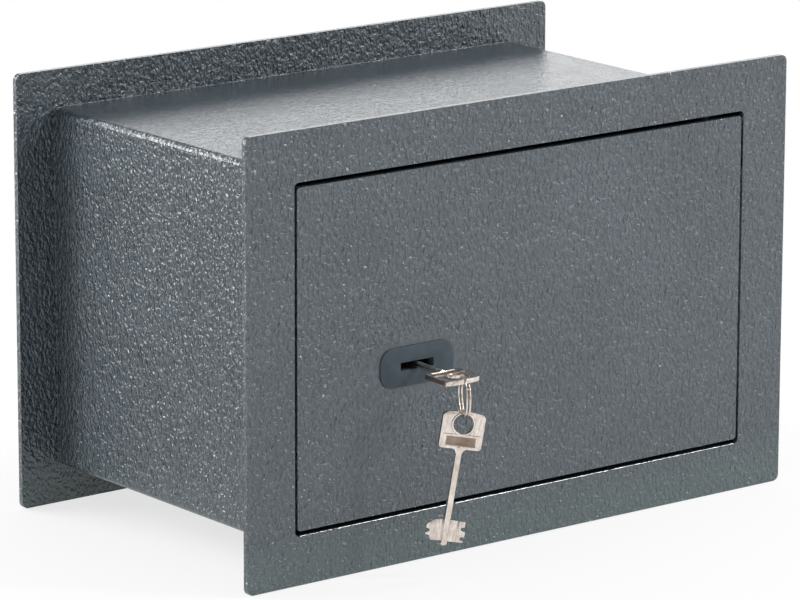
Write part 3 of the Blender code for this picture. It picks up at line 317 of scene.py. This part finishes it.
def lathe(shape, profile, axis="Z", steps=48, closed=False):
    """Turn (along, radius) points about Z or Y."""
    rings = []
    for along, radius in profile:
        ring = []
        for i in range(steps):
            a = math.tau * i / steps
            x, y = radius * math.cos(a), radius * math.sin(a)
            spot = (x, y, along) if axis == "Z" else (x, along, y)
            ring.append(shape.verts.new(spot))
        rings.append(ring)
    pairs = list(zip(rings, rings[1:]))
    if closed:
        pairs.append((rings[-1], rings[0]))
    else:
        shape.faces.new(rings[0])
        shape.faces.new(rings[-1])
    for low, high in pairs:
        for i in range(steps):
            j = (i + 1) % steps
            shape.faces.new((low[i], low[j], high[j], high[i]))


def finished(name, shape, mats):
    bmesh.ops.recalc_face_normals(shape, faces=shape.faces)
    mesh = bpy.data.meshes.new(name)
    shape.to_mesh(mesh)
    shape.free()
    for mat in mats:
        mesh.materials.append(mat)
    obj = bpy.data.objects.new(name, mesh)
    scene.collection.objects.link(obj)
    mesh.shade_smooth()
    mesh.set_sharp_from_angle(angle=SHARP)
    return obj


def shaped(name, body, tools, edge):
    """Cut a body with tools, soften its edges, and return the plain mesh."""
    obj = finished(name, body, ())
    made = []
    for number, tool in enumerate(tools):
        cutter = finished(f"{name}_{number}", tool, ())
        made.append(cutter)
        modifier = obj.modifiers.new("cut", "BOOLEAN")
        modifier.object = cutter
        modifier.operation = "DIFFERENCE"
        modifier.solver = "EXACT"
    bevel = obj.modifiers.new("edges", "BEVEL")
    bevel.width = edge
    bevel.segments = 2
    bevel.limit_method = "ANGLE"
    bevel.angle_limit = SOFTENED
    bpy.context.view_layer.update()
    graph = bpy.context.evaluated_depsgraph_get()
    mesh = bpy.data.meshes.new_from_object(obj.evaluated_get(graph))
    for used in [obj] + made:
        bpy.data.objects.remove(used)
    return mesh


# Keys
BOW_HALF, BOW_LONG, BOW_CORNER, BOW_ARCH = 0.0109, 0.0193, 0.0018, 0.0012
NECK_FILLET = 0.0022
BOW_TOP = HOLE + BOW_STRIP
BOW_FOOT = BOW_TOP - BOW_LONG
BOW_SOFT, BIT_SOFT = 0.00022, 0.00012
PANEL_LOW = BOW_FOOT + 0.0016
PANEL_HIGH = PANEL_LOW + 0.0048
PANEL_HALF, PANEL_DEEP = 0.0076, 0.0004
FRAME_PROUD, LINE_PROUD, RING_PROUD = 0.00014, 0.00003, 0.00006
RIM_WIDE, RIM_TALL = 0.00048, 0.00022
BURIED = 0.0002
RIBS, RIB_STEP, RIB_TALL = 10, 0.0004, 0.00016
TIP_DOME = 0.0011
BIT_GROOVES = ((-0.0029, -0.0020, 0.0005), (0.0052, 0.0058, 0.0003))
TIP = BOW_TOP - KEY_LENGTH
SHANK = 0.00175
BIT_LOW = TIP + 0.0023
BIT_LONG = 0.011
BIT_REACH = 0.010
BIT_HALF = 0.0008
LEFT_WING = [(0.72, 0.0), (0.80, 0.20), (1.0, 0.24), (1.0, 0.36), (0.82, 0.40), (0.82, 0.50),
             (1.0, 0.54), (1.0, 0.72), (0.84, 0.86), (0.60, 0.97), (0.36, 1.0)]
RIGHT_WING = [(0.96, 0.0), (0.96, 0.07), (0.78, 0.10), (0.78, 0.23), (1.0, 0.28),
              (1.0, 0.50), (0.76, 0.55), (0.76, 0.68), (0.95, 0.72), (0.95, 0.97),
              (0.36, 1.0)]


def bow_outline():
    half, corner, arch = BOW_HALF, BOW_CORNER, BOW_ARCH
    shoulder = BOW_TOP - arch
    radius = (half ** 2 + arch ** 2) / (2 * arch)
    spread = math.asin((half - corner) / radius)
    points = arc((0, BOW_TOP - radius), radius, math.pi / 2 - spread, math.pi / 2 + spread, 16)
    points += arc((corner - half, shoulder - corner), corner, 3 * math.pi / 4, math.pi, 6)
    points += arc((corner - half, BOW_FOOT + corner), corner, math.pi, 3 * math.pi / 2, 8)
    fillet = NECK_FILLET
    neck = SHANK + fillet
    points += arc((-neck, BOW_FOOT - fillet), fillet, math.pi / 2, 0, 8)
    points += arc((neck, BOW_FOOT - fillet), fillet, math.pi, math.pi / 2, 8)
    points += arc((half - corner, BOW_FOOT + corner), corner, -math.pi / 2, 0, 8)
    points += arc((half - corner, shoulder - corner), corner, 0, math.pi / 4, 6)
    return points


def key_piece(name, node, body, placement):
    """A double-bitted key: coined rim and panel on the bow, turned shank, stepped bit. A darker
    nickel on the recess floor, the ribs, a line above the panel, a ring round the hole and the
    bow's sides is painted shade.
    """
    half = BOW_THICK / 2
    bow = bmesh.new()
    slab(bow, bow_outline(), -half, half)
    drill = bmesh.new()
    lathe(drill, [(-0.003, HOLE), (0.003, HOLE)], "Y", steps=72)
    cuts = [drill]
    for sign in (-1, 1):
        panel = bmesh.new()
        near, far = sorted((sign * (half - PANEL_DEEP), sign * (half + 0.001)))
        box(panel, (-PANEL_HALF, near, PANEL_LOW), (PANEL_HALF, far, PANEL_HIGH))
        cuts.append(panel)
    whole = bmesh.new()
    whole.from_mesh(shaped(f"{name}_bow", bow, cuts, BOW_SOFT))

    bit = bmesh.new()
    outline = [(r * BIT_REACH, BIT_LOW + rise * BIT_LONG) for r, rise in RIGHT_WING]
    outline += [(-r * BIT_REACH, BIT_LOW + rise * BIT_LONG)
                for r, rise in reversed(LEFT_WING)]
    slab(bit, outline, -BIT_HALF, BIT_HALF)
    grooves = []
    for x_low, x_high, depth in BIT_GROOVES:
        for sign in (-1, 1):
            groove = bmesh.new()
            near, far = sorted((sign * (BIT_HALF - depth), sign * 0.002))
            box(groove, (x_low, near, BIT_LOW - 0.001),
                (x_high, far, BIT_LOW + BIT_LONG + 0.001))
            grooves.append(groove)
    whole.from_mesh(shaped(f"{name}_bit", bit, grooves, BIT_SOFT))

    dome = [(TIP + TIP_DOME * (1 - math.cos(a)), SHANK * math.sin(a))
            for a in (math.pi / 2 * i / 8 for i in range(1, 9))]
    lathe(whole, dome + [(BOW_FOOT + 0.0008, SHANK), (BOW_FOOT + 0.0014, 0.0011)], steps=40)
    for sign in (-1, 1):
        rim = [(sign * (half + RIM_TALL * math.sin(a)), HOLE + RIM_WIDE * (1 - math.cos(a)))
               for a in (math.pi * i / 8 for i in range(9))]
        rim.append((sign * (half - 0.0003), HOLE + RIM_WIDE))
        lathe(whole, rim, "Y", steps=72, closed=True)
        near, far = sorted((sign * (half - BURIED), sign * (half + FRAME_PROUD)))
        for low, high in (((-0.0095, PANEL_HIGH + 0.0004), (0.0095, PANEL_HIGH + 0.0008)),
                          ((0.0083, PANEL_LOW - 0.0006), (0.0087, PANEL_HIGH + 0.0004)),
                          ((-0.0087, PANEL_LOW - 0.0006), (-0.0083, PANEL_HIGH + 0.0004))):
            box(whole, (low[0], near, low[1]), (high[0], far, high[1]))
        # A thin dark line just above the panel's raised frame: painted shade
        shade_line, sunk = sorted((sign * (half + LINE_PROUD), sign * (half - BURIED)))
        box(whole, (-0.0093, shade_line, PANEL_HIGH + 0.0009), (0.0093, sunk, PANEL_HIGH + 0.0012),
            1)
        # A dark ring round the hole, beside the rim: painted shade
        start = len(whole.faces)
        low, high = sign * (half - BURIED), sign * (half + RING_PROUD)
        ring = [(low, HOLE + 0.0005), (high, HOLE + 0.0005),
                (high, HOLE + 0.0011), (low, HOLE + 0.0011)]
        lathe(whole, ring, "Y", steps=72, closed=True)
        whole.faces.ensure_lookup_table()
        for face in whole.faces[start:]:
            face.material_index = 1
        # The panel's floor and its ribs in the darker nickel: painted shade in the recess
        floor, sunk = sorted((sign * (half - 0.00038), sign * (half - 0.0008)))
        box(whole, (-0.00745, floor, PANEL_LOW + 0.00015),
            (0.00745, sunk, PANEL_HIGH - 0.00015), 1)
        for i in range(RIBS):
            z = PANEL_LOW + 0.0005 + i * RIB_STEP
            floor, sunk = sorted((sign * (half - 0.00028), sign * (half - 0.0005)))
            box(whole, (-0.0073, floor, z), (0.0073, sunk, z + RIB_TALL), 1)
    whole.normal_update()
    # The bow's sides in the darker nickel: painted shade
    for face in whole.faces:
        middle = face.calc_center_median()
        if abs(face.normal.x) > 0.8 and abs(middle.x) > 0.0105 and middle.z > BOW_FOOT:
            face.material_index = 1
    obj = finished(name, whole, (NICKEL, NICKEL_SHADE))
    obj.matrix_world = placement
    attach(obj, body)
    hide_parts(node)


outward = Vector((0, -math.cos(KEY_DROOP), -math.sin(KEY_DROOP)))
bow_hole = Vector((KEY_X, FRONT, KEY_Z)) + outward * (KEY_PROUD - BOW_STRIP - HOLE)
key_piece("key_in_lock", "key", "key",
          Matrix.Translation(bow_hole) @ Matrix.Rotation(math.pi / 2 + KEY_DROOP, 4, "X"))
ring_bottom = RING_CENTRE - Vector((0, 0, RING_RADIUS))
key_piece("hanging_key", "spare_key", "spare_key",
          Matrix.Translation(ring_bottom) @ Matrix.Rotation(-RING_TURN, 4, "Z")
          @ Matrix.Rotation(SPARE_LEAN, 4, "Y")
          @ Matrix.Translation((0, 0, WIRE + SPARE_PLAY - HOLE)))


def tube(name, points, radii, mat, loop=False):
    curve = bpy.data.curves.new(name, "CURVE")
    curve.dimensions = "3D"
    curve.bevel_depth = 1.0
    curve.bevel_resolution = 3
    curve.use_fill_caps = True
    line = curve.splines.new("POLY")
    line.points.add(len(points) - 1)
    for spot, point, radius in zip(line.points, points, radii):
        spot.co = (*point, 1)
        spot.radius = radius
    line.use_cyclic_u = loop
    curve.materials.append(mat)
    obj = bpy.data.objects.new(name, curve)
    scene.collection.objects.link(obj)
    return obj


def ring_piece():
    """The split ring: two smooth loops of wire and one short crossing."""
    along = Vector((math.sin(RING_TURN), math.cos(RING_TURN), 0))
    across = Vector((math.cos(RING_TURN), -math.sin(RING_TURN), 0))
    steps, crossing, start = 96, 12, 2
    count = 2 * steps - crossing + 1
    points, radii = [], []
    for i in range(count):
        angle = math.tau * (start + i) / steps
        share = min(max((i - (steps - crossing)) / crossing, 0), 1)
        offset = RING_PITCH * (share * share * (3 - 2 * share) - 0.5)
        points.append(RING_CENTRE + offset * across + RING_RADIUS
                      * (math.sin(angle) * along + math.cos(angle) * Vector((0, 0, 1))))
        end = min(i, count - 1 - i)
        radii.append(WIRE * (0.72 if end == 0 else 1.0))
    obj = tube("key_ring", points, radii, NICKEL)
    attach(obj, "split_ring")
    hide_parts("split_ring")


ring_piece()


# Beads of paint in the corners where the casing meets its two plates
def seam(name, y, phase):
    half_width, half_height, bend = CASE_HALF_WIDTH, CASE_HALF_HEIGHT, CASE_BEND
    corners = [((1, 1), 0), ((-1, 1), 1), ((-1, -1), 2), ((1, -1), 3)]
    outline = []
    for (sx, sz), turn in corners:
        centre = (sx * (half_width - bend), sz * (half_height - bend))
        outline += arc(centre, bend, math.pi / 2 * turn, math.pi / 2 * (turn + 1), 6)
    path = []
    for a, b in zip(outline, outline[1:] + outline[:1]):
        gap = math.dist(a, b)
        parts = max(1, round(gap / 0.002))
        for i in range(parts):
            t = i / parts
            path.append((a[0] + (b[0] - a[0]) * t, y, a[1] + (b[1] - a[1]) * t))
    radii = [0.00042 + 0.00016 * math.sin(i * 0.83 + phase) * math.sin(i * 0.31 + phase)
             for i in range(len(path))]
    obj = tube(name, path, radii, PAINT, loop=True)
    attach(obj, "safe_body")


seam("back_seam", -0.0034, 0.4)
seam("front_seam", -0.1966, 1.7)


# Keyhole plate
def rounded(half_width, half_height, corner):
    points = []
    for turn, (sx, sz) in enumerate(((1, 1), (-1, 1), (-1, -1), (1, -1))):
        centre = (KEY_X + sx * (half_width - corner), KEY_Z + sz * (half_height - corner))
        points += arc(centre, corner, math.pi / 2 * turn, math.pi / 2 * (turn + 1), 12)
    return points


def keyhole_piece():
    """The moulded plate: rounded corners, a softened rim and a sleeve through the door."""
    slot_width, slot_height = 0.0104, 0.0021
    slot_low = (KEY_X - slot_width, FRONT - 0.004, KEY_Z - slot_height)
    slot_high = (KEY_X + slot_width, FRONT + 0.010, KEY_Z + slot_height)
    whole = bmesh.new()
    for outline, front, back, edge in (
            (rounded(0.0232, 0.0103, 0.0082), FRONT - 0.0008, FRONT, 0.0003),
            (rounded(0.0124, 0.0041, 0.0006), FRONT - 0.0002, FRONT + 0.0042, 0.0001)):
        body = bmesh.new()
        slab(body, outline, front, back)
        tool = bmesh.new()
        box(tool, slot_low, slot_high)
        whole.from_mesh(shaped("keyhole_part", body, [tool], edge))
    obj = finished("keyhole_plate_detail", whole, (PLASTIC,))
    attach(obj, "door")
    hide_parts("keyhole_plate")


keyhole_piece()


# A bright metal strip along the lower side of the opening: a painted highlight for the glint on
# the frame's edge
def glint_strip():
    steps = 260
    path, radii = [], []
    for i in range(steps + 1):
        x = OPEN_LEFT + 0.003 + (OPEN_RIGHT - OPEN_LEFT - 0.006) * i / steps
        path.append((x, FRONT + 0.0004, OPEN_BOTTOM - 0.00022))
        radii.append(0.00036 + 0.00005 * math.sin(i * 0.9) * math.sin(i * 0.37))
    obj = tube("opening_edge_glint", path, radii, GLINT_STRIP_METAL)
    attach(obj, "safe_body")


glint_strip()


# Floor and backdrop: white to the camera and to reflections, with the safe's own shadow
def studio():
    world = bpy.data.worlds.new("studio")
    scene.world = world
    world.use_nodes = True
    net = Net(world.node_tree)
    ray = world.node_tree.nodes.new("ShaderNodeLightPath")
    at = net.add("ShaderNodeTexCoord", out=0)
    height = net.add("ShaderNodeSeparateXYZ", {"Vector": at}, out=2)
    behind = net.add("ShaderNodeSeparateXYZ", {"Vector": at}, out=1)
    behind = net.ramp(behind, -0.3, 0.4)
    low = net.math("ADD", 0.85, net.math("MULTIPLY", behind, 0.35))
    high = net.math("SUBTRACT", 0.30, net.math("MULTIPLY", behind, 0.24))
    lift = net.ramp(height, 0.42, 0.60)
    seen = net.math("ADD", net.math("MULTIPLY", low, net.math("SUBTRACT", 1.0, lift)),
                    net.math("MULTIPLY", high, lift))
    room = net.add("ShaderNodeVectorMath", {0: at, 1: (-0.80, -0.55, 0.2)}, out=1,
                   operation="DOT_PRODUCT")
    seen = net.math("MULTIPLY", seen, net.ramp(room, 0.74, 0.90, 1.0, 0.10))
    level = net.math("MAXIMUM", ray.outputs["Is Camera Ray"],
                     ray.outputs["Is Transmission Ray"])
    glossy = net.math("MULTIPLY", ray.outputs["Is Glossy Ray"], seen)
    level = net.math("MAXIMUM", level, glossy)
    diffuse = net.math("MULTIPLY", ray.outputs["Is Diffuse Ray"], 0.6)
    level = net.math("MAXIMUM", level, diffuse)
    background = world.node_tree.nodes["Background"]
    background.inputs["Color"].default_value = (1, 1, 1, 1)
    net.tree.links.new(level, background.inputs["Strength"])

    shape = bmesh.new()
    bmesh.ops.create_grid(shape, x_segments=2, y_segments=2, size=4)
    mesh = bpy.data.meshes.new("floor")
    shape.to_mesh(mesh)
    shape.free()
    floor = bpy.data.objects.new("floor", mesh)
    floor.location = (0, 0, FLOOR - 0.0004)
    scene.collection.objects.link(floor)
    mat = bpy.data.materials.new("floor")
    mat.use_nodes = True
    net = Net(mat.node_tree)
    shader = mat.node_tree.nodes["Principled BSDF"]
    shader.inputs["Base Color"].default_value = (0.93, 0.93, 0.93, 1)
    shader.inputs["Roughness"].default_value = 0.9
    shader.inputs["Specular IOR Level"].default_value = 0.1
    glow = mat.node_tree.nodes.new("ShaderNodeEmission")
    where = net.add("ShaderNodeTexCoord", out=3)
    reach = net.add("ShaderNodeVectorMath", {0: where}, out=1, operation="LENGTH")
    near = net.ramp(reach, 0.16, 0.50, 0.72, 1.0)
    ray = mat.node_tree.nodes.new("ShaderNodeLightPath")
    shown = net.math("MULTIPLY", ray.outputs["Is Glossy Ray"], 0.85)
    shown = net.math("MAXIMUM", ray.outputs["Is Camera Ray"], shown)
    share = net.math("MULTIPLY", near, shown)
    blend = mat.node_tree.nodes.new("ShaderNodeMixShader")
    net.tree.links.new(share, blend.inputs[0])
    net.tree.links.new(shader.outputs[0], blend.inputs[1])
    net.tree.links.new(glow.outputs[0], blend.inputs[2])
    net.tree.links.new(blend.outputs[0], mat.node_tree.nodes["Material Output"].inputs[0])
    mesh.materials.append(mat)


studio()


def lamp(name, place, target, size, power, size_y=None):
    data = bpy.data.lights.new(name, "AREA")
    data.energy = power
    data.shape = "RECTANGLE"
    data.size = size
    data.size_y = size_y or size
    obj = bpy.data.objects.new(name, data)
    obj.location = place
    obj.rotation_mode = "QUATERNION"
    obj.rotation_quaternion = (Vector(target) - Vector(place)).to_track_quat("-Z", "Y")
    scene.collection.objects.link(obj)


LAMPS = (
    ("key_light", (0.9, -1.3, 1.1), (0, -0.15, 0), 0.22, 8),
    ("back_left_light", (-0.90, 1.05, 0.62), (-0.12, -0.1, 0.05), 1.2, 20, 0.6),
    ("back_right_light", (1.3, 1.8, 0.75), (0, -0.1, 0.1), 1.5, 3.2, 0.5),
    ("top_right_light", (0.95, -0.55, 1.2), (0, -0.2, 0), 0.5, 8),
    ("glint_light", (0.96, -1.40, 0.40), (0, -0.15, 0), 0.10, 2.2),
    ("side_glint_light", (-1.1, 0.9, 0.25), (-0.15, -0.1, 0), 0.08, 0.8),
)
for row in LAMPS:
    lamp(*row)
